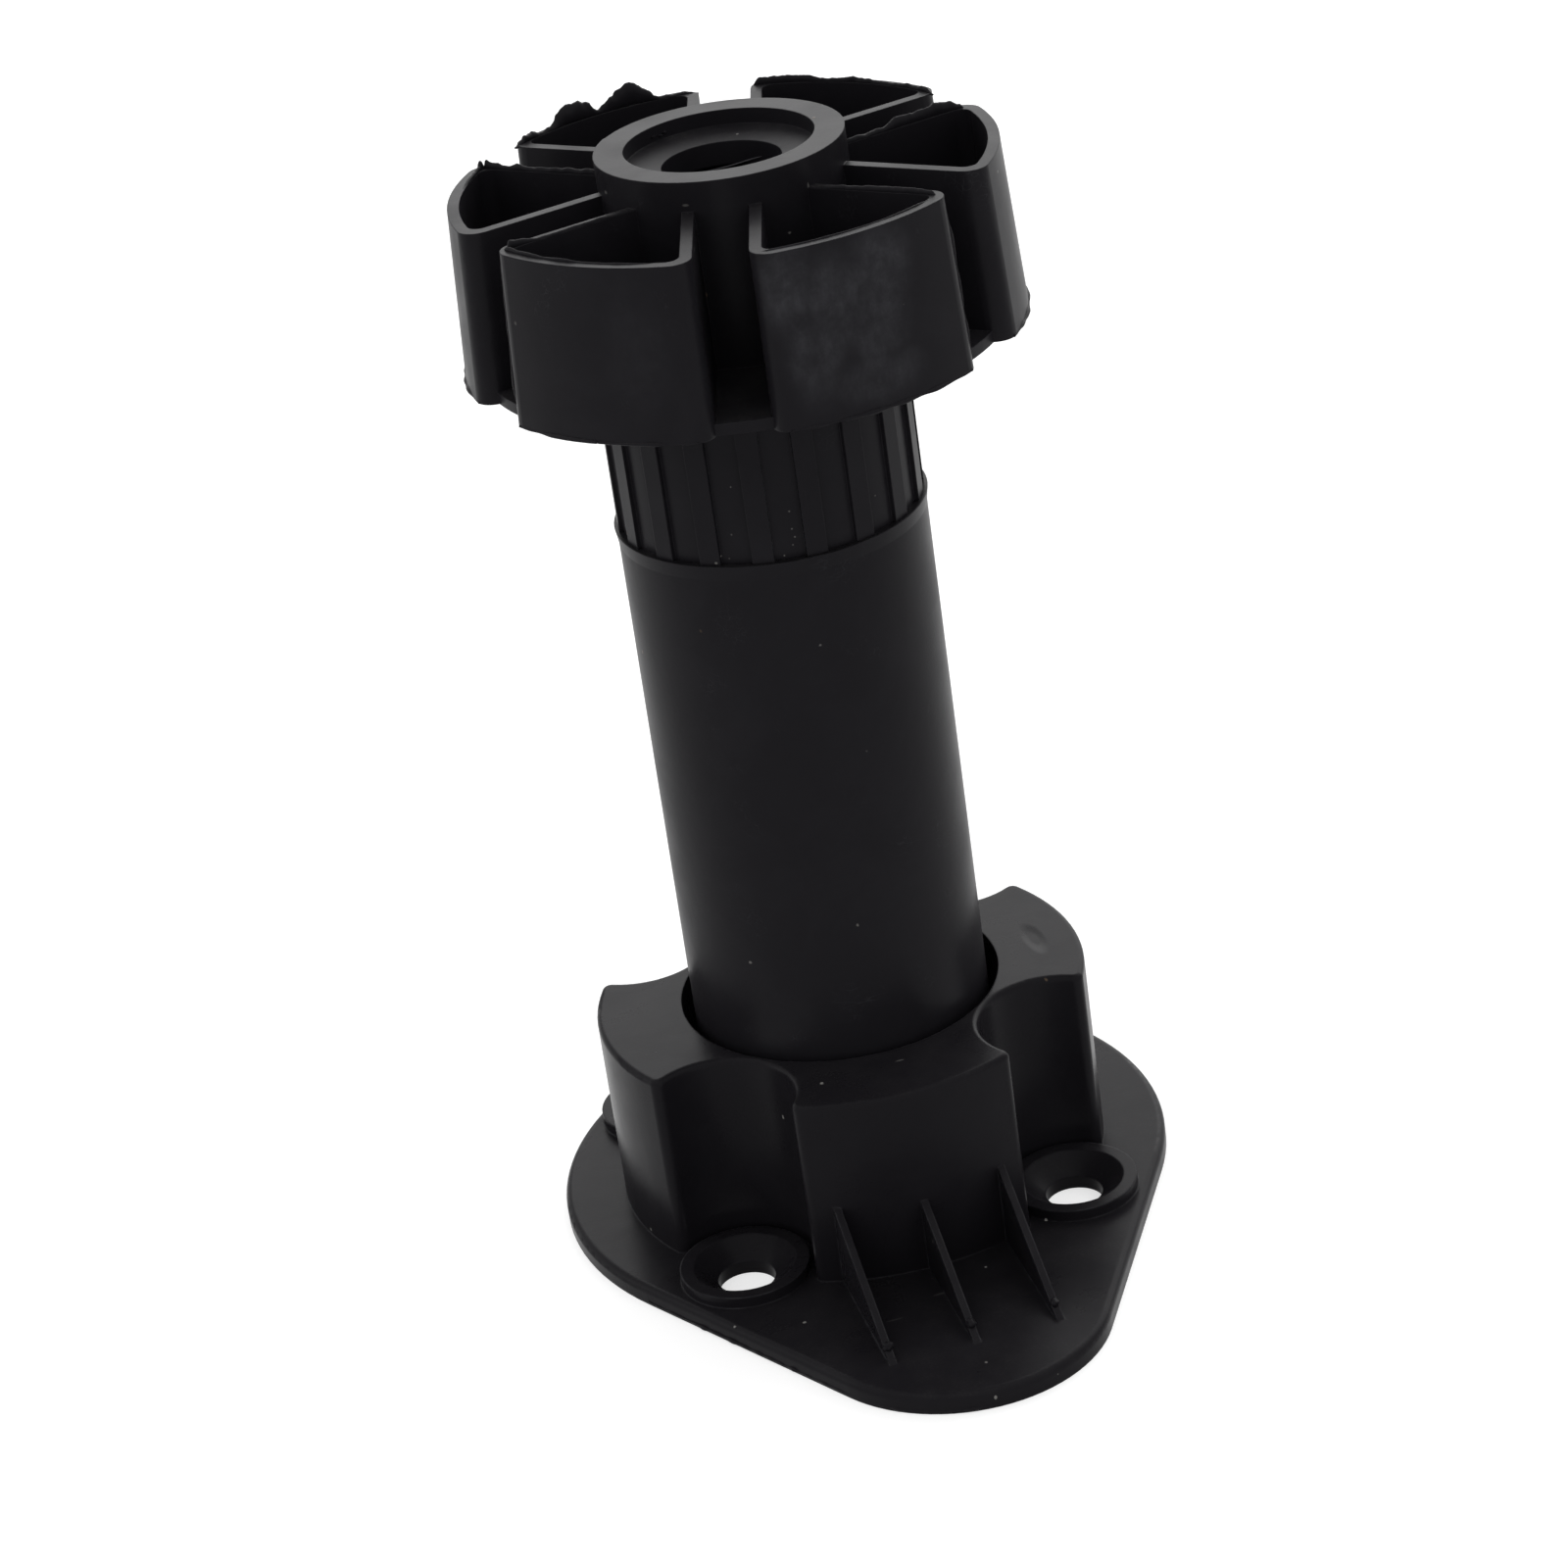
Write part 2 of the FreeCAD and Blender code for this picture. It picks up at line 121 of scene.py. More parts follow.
class Wiring:
    """Short calls that add and join nodes in one tree.

    Args:
        tree: The node tree to work in.
    """

    def __init__(self, tree: NodeTree) -> None:
        """Keeps the tree."""
        self.tree = tree

    def node(self, kind: str, **settings: object) -> Node:
        """Adds a node.

        Args:
            kind: The node's type.
            **settings: Its properties.

        Returns:
            The node.
        """
        made = self.tree.nodes.new(kind)
        for name, value in settings.items():
            setattr(made, name, value)
        return made

    def feed(self, socket: NodeSocket, value: object) -> None:
        """Links a socket to another, or sets its value.

        Args:
            socket: The socket to feed.
            value: The socket that feeds it, or its value.
        """
        if isinstance(value, NodeSocket):
            self.tree.links.new(value, socket)
        else:
            socket.default_value = value

    def math(self, operation: str, first: object, second: object = 0.0, clamp: bool = False) -> NodeSocket:
        """Adds a sum of one or two values.

        Args:
            operation: The kind of sum.
            first: The first value or socket.
            second: The second value or socket.
            clamp: Whether the result is kept from 0 to 1.

        Returns:
            The result.
        """
        made = self.node("ShaderNodeMath", operation=operation, use_clamp=clamp)
        self.feed(made.inputs[0], first)
        self.feed(made.inputs[1], second)
        return made.outputs[0]

    def vector(self, operation: str, first: object, second: object = (0.0, 0.0, 0.0)) -> Node:
        """Adds a sum of one or two vectors.

        Args:
            operation: The kind of sum.
            first: The first vector or socket.
            second: The second vector or socket, or the factor of a SCALE.

        Returns:
            The sum's node.
        """
        made = self.node("ShaderNodeVectorMath", operation=operation)
        self.feed(made.inputs[0], first)
        self.feed(made.inputs["Scale" if operation == "SCALE" else 1], second)
        return made

    def ramp(self, value: object, low: float, high: float) -> NodeSocket:
        """Maps a value gently to 0 at low and 1 at high.

        Args:
            value: The value or socket to map.
            low: Where the result starts to rise.
            high: Where it reaches 1.

        Returns:
            The result.
        """
        made = self.node("ShaderNodeMapRange", interpolation_type="SMOOTHSTEP")
        self.feed(made.inputs["Value"], value)
        made.inputs["From Min"].default_value = low
        made.inputs["From Max"].default_value = high
        return made.outputs["Result"]

    def noise(self, place: object, size: object, detail: float = 3.0, roughness: float = 0.5,
              distortion: float = 0.0) -> NodeSocket:
        """Adds cloudy noise.

        Args:
            place: The coordinate, in metres.
            size: The size of its lumps, in metres, or a socket that gives it.
            detail: How many finer layers it has.
            roughness: How strong the finer layers are.
            distortion: How much it swirls.

        Returns:
            The noise, about 0.5.
        """
        made = self.node("ShaderNodeTexNoise")
        self.feed(made.inputs["Vector"], place)
        scale = self.math("DIVIDE", 1.0, size) if isinstance(size, NodeSocket) else 1.0 / size
        self.feed(made.inputs["Scale"], scale)
        made.inputs["Detail"].default_value = detail
        made.inputs["Roughness"].default_value = roughness
        made.inputs["Distortion"].default_value = distortion
        return made.outputs["Fac"]

    def mix(self, amount: object, first: object, second: object) -> NodeSocket:
        """Mixes two colours.

        Args:
            amount: How much of the second shows.
            first: The first colour or socket.
            second: The second colour or socket.

        Returns:
            The mixed colour.
        """
        made = self.node("ShaderNodeMix", data_type="RGBA")
        self.feed(made.inputs["Factor"], amount)
        for index, color in ((6, first), (7, second)):
            self.feed(made.inputs[index], color if isinstance(color, NodeSocket) else (*color, 1.0))
        return made.outputs[2]

    def group(self, effect: EffectGroup, **values: object) -> Node:
        """Places a shared effect.

        Args:
            effect: The group to place.
            **values: Its inputs, with _ for a space.

        Returns:
            The group's node.
        """
        made = self.node("ShaderNodeGroup")
        made.node_tree = effect.tree
        for name, value in values.items():
            self.feed(made.inputs[name.replace("_", " ")], value)
        return made


@dataclass
class Effects:
    """The shared effects: soft edges, grain, dust, specks, scratches and places.

    Args:
        edge_samples: How many rays find the edges.
        wear_and_highlight_patch: The size of the patches that the lightened edges leave out, in metres.
        wave_share: How much higher the flow waves are than the grain.
        dust_patch: The size of the patches of dust, in metres.
        dust_grain: The size of its grains, in metres.
        dust_film: How much dust lies between the grains, as a share.
        speck_wobble: The size of the wobbles in a speck's outline, in metres.
        speck_shift: How far they shift it, in metres.
        scratch_gap: The distance between scratches, in metres.
        scratch_patch: The size of the scratched patches, in metres.
        spot_edge: The size of the wobbles in a spot's edge, in metres.
        spot_cloud: The size of the clouds in a scuff, in metres.
        spot_streak: The width of its upright streaks, in metres.
        streak_base: How much shows between the streaks, as a share.
        spot_base: The least that a scuff shows, as a share.
    """

    edge_samples: int = 6
    wear_and_highlight_patch: float = 2.5 * MM
    wave_share: float = 4.0
    dust_patch: float = 5 * MM
    dust_grain: float = 0.25 * MM
    dust_film: float = 0.35
    speck_wobble: float = 0.5 * MM
    speck_shift: float = 0.35 * MM
    scratch_gap: float = 0.55 * MM
    scratch_patch: float = 7 * MM
    spot_edge: float = 0.3 * MM
    spot_cloud: float = 2.6 * MM
    spot_streak: float = 1.0 * MM
    streak_base: float = 0.45
    spot_base: float = 0.22
    edges: EffectGroup = field(init=False)
    grain: EffectGroup = field(init=False)
    dust: EffectGroup = field(init=False)
    specks: EffectGroup = field(init=False)
    scratches: EffectGroup = field(init=False)
    spot: EffectGroup = field(init=False)

    def __post_init__(self) -> None:
        """Builds every group once."""
        self.edges = self.build_edges()
        self.grain = self.build_grain()
        self.dust = self.build_dust()
        self.specks = self.build_specks()
        self.scratches = self.build_scratches()
        self.spot = self.build_spot()

    def build_edges(self) -> EffectGroup:
        """Rounds sharp edges for the light and marks where they are.

        Returns:
            A group that gives Normal and Wear.
        """
        group = EffectGroup("SoftEdges")
        wiring = Wiring(group.tree)
        place = group.takes("Place", VECTOR)
        radius = group.takes("Radius")
        bevel = wiring.node("ShaderNodeBevel", samples=self.edge_samples)
        wiring.feed(bevel.inputs["Radius"], radius)
        flat = wiring.node("ShaderNodeNewGeometry").outputs["Normal"]
        likeness = wiring.vector("DOT_PRODUCT", bevel.outputs[0], flat).outputs["Value"]
        turned = wiring.math("SUBTRACT", 1.0, likeness)
        patches = wiring.noise(place, self.wear_and_highlight_patch, detail=4.0, roughness=0.6)
        patchy = wiring.ramp(patches, low=0.3, high=0.75)
        group.gives("Normal", bevel.outputs[0], VECTOR)
        group.gives("WearAndHighlight", wiring.math("MULTIPLY", wiring.ramp(turned, low=0.01, high=0.16), patchy))
        return group

    def build_grain(self) -> EffectGroup:
        """Makes the skin of a moulding: fine grain, flow waves and cloudy patches.

        Returns:
            A group that gives Height and Mottle.
        """
        group = EffectGroup("MouldSkin")
        wiring = Wiring(group.tree)
        place = group.takes("Place", VECTOR)
        grain = group.takes("Grain Size")
        fine = wiring.noise(place, grain, detail=4.0, roughness=0.6)
        wave = group.takes("Wave Size", value=6 * MM)
        waves = wiring.noise(place, wave, detail=2.0, roughness=0.5, distortion=0.6)
        mottle = group.takes("Mottle Size")
        cloud = wiring.noise(place, mottle, detail=5.0, roughness=0.62, distortion=0.4)
        group.gives("Height", wiring.math("ADD", fine, wiring.math("MULTIPLY", waves, self.wave_share)))
        group.gives("Mottle", wiring.ramp(cloud, low=0.38, high=0.72))
        return group

    def build_dust(self) -> EffectGroup:
        """Marks the dust that settles on faces that look up.

        Returns:
            A group that gives Mask.
        """
        group = EffectGroup("SettledDust")
        wiring = Wiring(group.tree)
        place = group.takes("Place", VECTOR)
        facing = group.takes("Facing", VECTOR)
        amount = group.takes("Amount")
        up = wiring.node("ShaderNodeSeparateXYZ")
        wiring.feed(up.inputs[0], facing)
        looks_up = wiring.ramp(up.outputs["Z"], low=0.35, high=0.95)
        patch = wiring.noise(place, self.dust_patch, detail=6.0, roughness=0.6)
        patches = wiring.ramp(patch, low=0.25, high=0.8)
        grains = wiring.ramp(wiring.noise(place, self.dust_grain, detail=2.0), low=0.5, high=0.72)
        loose = wiring.math("MULTIPLY", grains, 1.0 - self.dust_film)
        share = wiring.math("MULTIPLY", patches, wiring.math("ADD", self.dust_film, loose))
        settled = wiring.math("MULTIPLY", looks_up, share)
        group.gives("Mask", wiring.math("MULTIPLY", settled, amount, clamp=True))
        return group

    def build_specks(self) -> EffectGroup:
        """Scatters small lint specks and brown crumbs.

        Returns:
            A group that gives Pale, Brown and Height.
        """
        group = EffectGroup("LintSpecks")
        wiring = Wiring(group.tree)
        place = group.takes("Place", VECTOR)
        amount = group.takes("Amount")
        wobble = wiring.node("ShaderNodeTexNoise")
        wiring.feed(wobble.inputs["Vector"], place)
        wobble.inputs["Scale"].default_value = 1.0 / self.speck_wobble
        shift = wiring.vector("SCALE", wobble.outputs["Color"], self.speck_shift)
        shifted = wiring.vector("ADD", place, shift.outputs[0]).outputs[0]
        masks = []
        for cell, near, far, rare in ((3.6 * MM, 0.035, 0.065, 0.80), (5.2 * MM, 0.03, 0.06, 0.86)):
            cells = wiring.node("ShaderNodeTexVoronoi", feature="F1")
            wiring.feed(cells.inputs["Vector"], shifted)
            cells.inputs["Scale"].default_value = 1.0 / cell
            dot = wiring.math("SUBTRACT", 1.0, wiring.ramp(cells.outputs["Distance"], near, far))
            chance = wiring.node("ShaderNodeSeparateColor")
            wiring.feed(chance.inputs[0], cells.outputs["Color"])
            chosen = wiring.math("GREATER_THAN", chance.outputs["Red"], rare)
            masks.append(wiring.math("MULTIPLY", dot, wiring.math("MULTIPLY", chosen, amount), clamp=True))
        group.gives("Pale", masks[0])
        group.gives("Brown", masks[1])
        group.gives("Height", wiring.math("MAXIMUM", masks[0], masks[1]))
        return group

    def build_scratches(self) -> EffectGroup:
        """Draws fine scratches in two directions.

        Returns:
            A group that gives Mask.
        """
        group = EffectGroup("FineScratches")
        wiring = Wiring(group.tree)
        place = group.takes("Place", VECTOR)
        amount = group.takes("Amount")
        found = []
        for turn, stretch in (((0.3, 0.2, 0.5), (0.06, 1.0, 0.5)), ((0.1, 0.7, 2.1), (1.0, 0.05, 0.6))):
            mapping = wiring.node("ShaderNodeMapping")
            wiring.feed(mapping.inputs["Vector"], place)
            mapping.inputs["Rotation"].default_value = turn
            mapping.inputs["Scale"].default_value = stretch
            lines = wiring.noise(mapping.outputs[0], self.scratch_gap, detail=1.0, roughness=0.4)
            thin = wiring.math("ABSOLUTE", wiring.math("SUBTRACT", lines, 0.5))
            line = wiring.math("SUBTRACT", 1.0, wiring.ramp(thin, low=0.004, high=0.014))
            patches = wiring.noise(place, self.scratch_patch, detail=3.0, roughness=0.6)
            found.append(wiring.math("MULTIPLY", line, wiring.ramp(patches, low=0.56, high=0.68)))
        group.gives("Mask", wiring.math("MULTIPLY", wiring.math("MAXIMUM", *found), amount, clamp=True))
        return group

    def build_spot(self) -> EffectGroup:
        """Marks an oval place round a point, for scuffs, flecks and sink marks.

        Returns:
            A group that gives Patchy, a broken mask, Soft, one that fades out, and Whole, one with an edge.
        """
        group = EffectGroup("Spot")
        wiring = Wiring(group.tree)
        place = group.takes("Place", VECTOR)
        centre = group.takes("Centre", VECTOR)
        reach = group.takes("Reach", VECTOR)
        away = wiring.vector("SUBTRACT", place, centre).outputs[0]
        share = wiring.vector("LENGTH", wiring.vector("DIVIDE", away, reach).outputs[0]).outputs["Value"]
        wobbles = wiring.noise(place, self.spot_edge, detail=2.0)
        ragged = wiring.math("ADD", share, wiring.math("MULTIPLY", wobbles, 0.5))
        near = wiring.math("SUBTRACT", 1.0, wiring.ramp(share, low=0.3, high=1.0))
        cloud = wiring.noise(place, self.spot_cloud, detail=7.0, roughness=0.68, distortion=0.15)
        clouds = wiring.ramp(cloud, low=0.28, high=0.78)
        upright = wiring.vector("MULTIPLY", place, (1.0, 1.0, 0.3)).outputs[0]
        streak = wiring.noise(upright, self.spot_streak, detail=4.0, roughness=0.6)
        streaks = wiring.ramp(streak, low=0.3, high=0.7)
        streaky = wiring.math("MULTIPLY", streaks, 1.0 - self.streak_base)
        rough = wiring.math("MULTIPLY", clouds, wiring.math("ADD", self.streak_base, streaky))
        rough = wiring.math("ADD", self.spot_base, wiring.math("MULTIPLY", rough, 1.0 - self.spot_base))
        group.gives("Patchy", wiring.math("MULTIPLY", near, rough))
        group.gives("Soft", near)
        group.gives("Whole", wiring.math("SUBTRACT", 1.0, wiring.ramp(ragged, low=0.85, high=1.25)))
        return group


class MarkKind(Enum):
    """What a mark on a moulding is: a scuffed greyish patch, a pale fleck or a shallow sink mark."""

    SCUFF = "scuff"
    FLECK = "fleck"
    SINK = "sink"


@dataclass(frozen=True)
class Mark:
    """A mark at a stated place on a moulding.

    Args:
        kind: What it is.
        centre: Where it is, in millimetres.
        reach: Its half lengths, in millimetres.
        strength: How strongly it shows.
    """

    kind: MarkKind
    centre: tuple[float, float, float]
    reach: tuple[float, float, float]
    strength: float

    def place(self, wiring: Wiring, effects: Effects, where: NodeSocket, mask: str) -> NodeSocket:
        """Adds the mark to a material.

        Args:
            wiring: The material's nodes.
            effects: The shared effects.
            where: The coordinate, in metres.
            mask: The mask to take, Patchy, Soft or Whole.

        Returns:
            The mark's strength at each point.
        """
        group = wiring.group(effects.spot, Place=where, Centre=tuple(value * MM for value in self.centre),
                             Reach=tuple(value * MM for value in self.reach))
        return wiring.math("MULTIPLY", group.outputs[mask], self.strength)


@dataclass(frozen=True)
class PlasticFinish:
    """How one moulding's plastic looks.

    Args:
        name: The material's name.
        color: The plastic's own colour, linear.
        bloom_and_highlight: The colour of rubbed and scuffed places and of the highlights painted along
            edges, linear.
        roughness: The shine of the clean skin, 0 smooth to 1 dull.
        worn_roughness: The shine of rubbed and scuffed places and of the painted edge highlights.
        shine: The strength of the reflection at the surface.
        edge_radius: The radius of its sharp edges, in metres.
        grain_size: The size of the fine grain, in metres.
        grain_depth: The depth of that grain, in metres.
        mottle_size: The size of the cloudy patches, in metres.
        mottle: How strongly the patches lighten the colour.
        mottle_dulls: How much duller the patches are.
        dust: How much dust lies on it.
        dust_dulls: How much duller the dust is.
        specks: How strongly the specks on it show.
        speck_relief: How high specks stand, in depths of the grain.
        scratches: How strongly scratches show.
        scratch_wear: How strongly a scratch counts as a rubbed place.
        edge_wear_and_highlight: How strongly its edges are lightened, as rubbing and as a painted highlight.
        marks: The scuffs, flecks and sink marks at stated places.
    """

    name: str
    color: tuple[float, float, float] = (0.0110, 0.0102, 0.0122)
    bloom_and_highlight: tuple[float, float, float] = (0.095, 0.095, 0.105)
    roughness: float = 0.34
    worn_roughness: float = 0.55
    shine: float = 0.05
    edge_radius: float = 0.16 * MM
    grain_size: float = 0.35 * MM
    grain_depth: float = 0.007 * MM
    mottle_size: float = 12 * MM
    mottle: float = 0.03
    mottle_dulls: float = 0.08
    dust: float = 0.08
    dust_dulls: float = 0.4
    specks: float = 0.5
    speck_relief: float = 6.0
    scratches: float = 0.16
    scratch_wear: float = 0.6
    edge_wear_and_highlight: float = 0.18
    marks: tuple[Mark, ...] = ()

    def build(self, effects: Effects) -> Material:
        """Builds the finish as a material.

        Args:
            effects: The shared effects.

        Returns:
            The material.
        """
        material = bpy.data.materials.new(self.name)
        material.use_nodes = True
        wiring = Wiring(material.node_tree)
        shader = material.node_tree.nodes["Principled BSDF"]
        spot = wiring.node("ShaderNodeTexCoord")
        place = spot.outputs["Object"]
        edges = wiring.group(effects.edges, Place=place, Radius=self.edge_radius)
        skin = wiring.group(effects.grain, Place=place, Grain_Size=self.grain_size,
                            Mottle_Size=self.mottle_size)
        dust = wiring.group(effects.dust, Place=place, Facing=spot.outputs["Normal"], Amount=self.dust)
        specks = wiring.group(effects.specks, Place=place, Amount=self.specks)
        scratches = wiring.group(effects.scratches, Place=place, Amount=self.scratches)

        # Sharp edges are lightened towards the lighter grey: rubbing on most mouldings, and a painted
        # highlight along the flange's edges.
        wear_and_highlight = wiring.math("MULTIPLY", edges.outputs["WearAndHighlight"], self.edge_wear_and_highlight)
        scratched = wiring.math("MULTIPLY", scratches.outputs["Mask"], self.scratch_wear)
        wear_and_highlight = wiring.math("MAXIMUM", wear_and_highlight, scratched)
        flecked = specks.outputs["Pale"]
        sunk = 0.0
        for mark in self.marks:
            if mark.kind is MarkKind.SCUFF:
                wear_and_highlight = wiring.math("MAXIMUM", wear_and_highlight, mark.place(wiring, effects, place, "Patchy"))
            elif mark.kind is MarkKind.FLECK:
                flecked = wiring.math("MAXIMUM", flecked, mark.place(wiring, effects, place, "Whole"))
            else:
                sunk = wiring.math("ADD", sunk, mark.place(wiring, effects, place, "Soft"))

        clouded = wiring.math("MULTIPLY", skin.outputs["Mottle"], self.mottle)
        color = wiring.mix(clouded, self.color, self.bloom_and_highlight)
        color = wiring.mix(wear_and_highlight, color, self.bloom_and_highlight)
        color = wiring.mix(dust.outputs["Mask"], color, DUST_COLOR)
        color = wiring.mix(specks.outputs["Brown"], color, CRUMB_COLOR)
        color = wiring.mix(flecked, color, LINT_COLOR)
        wiring.feed(shader.inputs["Base Color"], color)

        dulled = wiring.math("MULTIPLY", skin.outputs["Mottle"], self.mottle_dulls)
        rough = wiring.math("ADD", self.roughness, dulled)
        rough = wiring.math("ADD", rough, wiring.math("MULTIPLY", wear_and_highlight, self.worn_roughness - self.roughness))
        dusty = wiring.math("MULTIPLY", dust.outputs["Mask"], self.dust_dulls)
        wiring.feed(shader.inputs["Roughness"], wiring.math("ADD", rough, dusty, clamp=True))
        shader.inputs["Specular IOR Level"].default_value = self.shine

        raised = wiring.math("MULTIPLY", specks.outputs["Height"], self.speck_relief)
        height = wiring.math("ADD", skin.outputs["Height"], raised)
        height = wiring.math("SUBTRACT", height, sunk)
        bump = wiring.node("ShaderNodeBump")
        bump.inputs["Distance"].default_value = self.grain_depth
        bump.inputs["Strength"].default_value = 1.0
        wiring.feed(bump.inputs["Height"], height)
        wiring.feed(bump.inputs["Normal"], edges.outputs["Normal"])
        wiring.feed(shader.inputs["Normal"], bump.outputs[0])
        return material


@dataclass
class Moulding:
    """One carried-over moulding and its finish.

    Args:
        node: The frame's node.
        slot: The record's material slot. Not used.
        finish: Its finish.
    """

    node: str
    slot: Slot
    finish: PlasticFinish

    def dress(self, effects: Effects) -> Material:
        """Gives the moulding its finish.

        Args:
            effects: The shared effects.

        Returns:
            The material, for the pieces that belong to the moulding.
        """
        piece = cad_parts[self.node]
        material = self.finish.build(effects)
        piece.data.materials.clear()
        piece.data.materials.append(material)
        log.info("%s dressed with %s", self.node, self.finish.name)
        return material


def settle(shape: BMesh, name: str, body: Body, slot: Slot, material: Material) -> Object:
    """Turns a finished shape into a piece that rides on its body.

    Args:
        shape: The shape, in metres at its place.
        name: The piece's name.
        body: The body that it rides on.
        slot: The record's slot that its finish belongs to. Not used.
        material: Its material.

    Returns:
        The piece.
    """
    bmesh.ops.recalc_face_normals(shape, faces=shape.faces)
    for face in shape.faces:
        face.smooth = True
    mesh = bpy.data.meshes.new(name)
    shape.to_mesh(mesh)
    shape.free()
    mesh.materials.append(material)
    piece = bpy.data.objects.new(name, mesh)
    bpy.context.scene.collection.objects.link(piece)
    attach(piece, body.value)
    log.info("%s with %d faces", name, len(mesh.polygons))
    return piece


def loft(steps: int, around: int, place: Callable[[float, float], Vector]) -> BMesh:
    """Bends a capped tube into a shape.

    Args:
        steps: How many rings it has along its length.
        around: How many corners each ring has.
        place: Gives a point from the share along the tube and the angle round it.

    Returns:
        The shape.
    """
    shape = bmesh.new()
    bmesh.ops.create_cone(shape, cap_ends=True, segments=around, radius1=1.0, radius2=1.0, depth=2.0)
    long_edges = [edge for edge in shape.edges if abs(edge.verts[0].co.z - edge.verts[1].co.z) > 1.0]
    bmesh.ops.subdivide_edges(shape, edges=long_edges, cuts=steps - 1)
    for vert in shape.verts:
        vert.co = place((vert.co.z + 1.0) / 2.0, math.atan2(vert.co.y, vert.co.x))
    return shape


def between(knots: tuple[tuple[float, float], ...], station: float) -> float:
    """Reads a smooth line through knots.

    Args:
        knots: Pairs of station and value, in order of station.
        station: Where to read.

    Returns:
        The value there.
    """
    if station <= knots[0][0]:
        return knots[0][1]
    for (start, low), (end, high) in zip(knots, knots[1:]):
        if station <= end:
            share = (station - start) / (end - start)
            return low + (high - low) * share * share * (3.0 - 2.0 * share)
    return knots[-1][1]


# How a torn edge wanders: the gap between two burrs' noises, and the finer noise's share and scale.
TEAR_GAP = 3.1
FINE_SHARE = 0.5
FINE_SCALE = 2.7


class Wall(Enum):
    """The walls of a petal's hollow: the side at the lower angle, the outer arc and the other side."""

    LOW_SIDE = -1
    OUTER = 0
    HIGH_SIDE = 1


@dataclass(frozen=True)
class Burr:
    """A torn lip left standing on the inner edge of a petal's hollow.

    Args:
        petal: The angle of the petal's middle, in degrees.
        wall: The wall that it stands on.
        knots: Pairs of station and height above the rim in millimetres. A station is an angle from the
            petal's middle in degrees on the outer wall, and the millimetres from the axis on a side.
        ragged: How far its edge wanders, in millimetres.
        thickness: Its thickness at the rim, in millimetres.
    """

    petal: float
    wall: Wall
    knots: tuple[tuple[float, float], ...]
    ragged: float = 0.12
    thickness: float = 0.3


